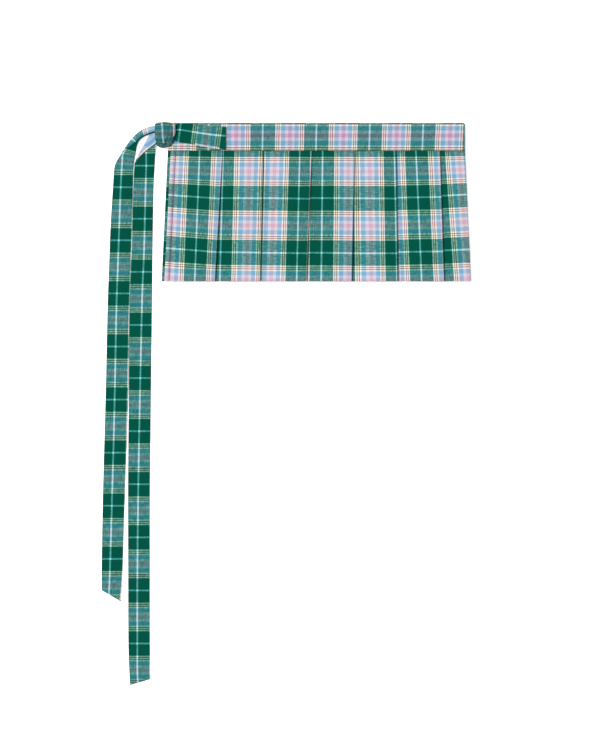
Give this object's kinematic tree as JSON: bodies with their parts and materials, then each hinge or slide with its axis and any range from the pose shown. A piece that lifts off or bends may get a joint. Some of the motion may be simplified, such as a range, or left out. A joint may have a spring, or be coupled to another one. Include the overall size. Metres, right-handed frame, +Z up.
{
  "type": "wrap skirt",
  "caption": "Short pleated plaid wrap skirt laid flat, its waist ties knotted at one end of the band with long free ends",
  "frame": {"origin": "on the surface that the skirt lies on, under the middle of its outline", "axes": "+Z up from the surface to the right side of the cloth; +Y to the waist; +X across the skirt to its side fold, away from the knot"},
  "size_m": [0.481, 0.732, 0.0152],
  "materials": {
    "skirt_cloth": "matte plain-woven cotton plaid in green, blue, pink and white",
    "band_cloth": "matte plain-woven cotton plaid, cut so that a pink and blue stripe runs along it",
    "tie_cloth": "matte plain-woven cotton plaid, cut so that a green stripe runs along it"
  },
  "bodies": {
    "root": {"front_panel": "skirt_cloth", "back_panel": "skirt_cloth", "waistband": "band_cloth", "tie_front": "tie_cloth", "knot": "tie_cloth", "tie_end_short": "tie_cloth", "tie_end_long": "tie_cloth"}
  },
  "joints": []
}
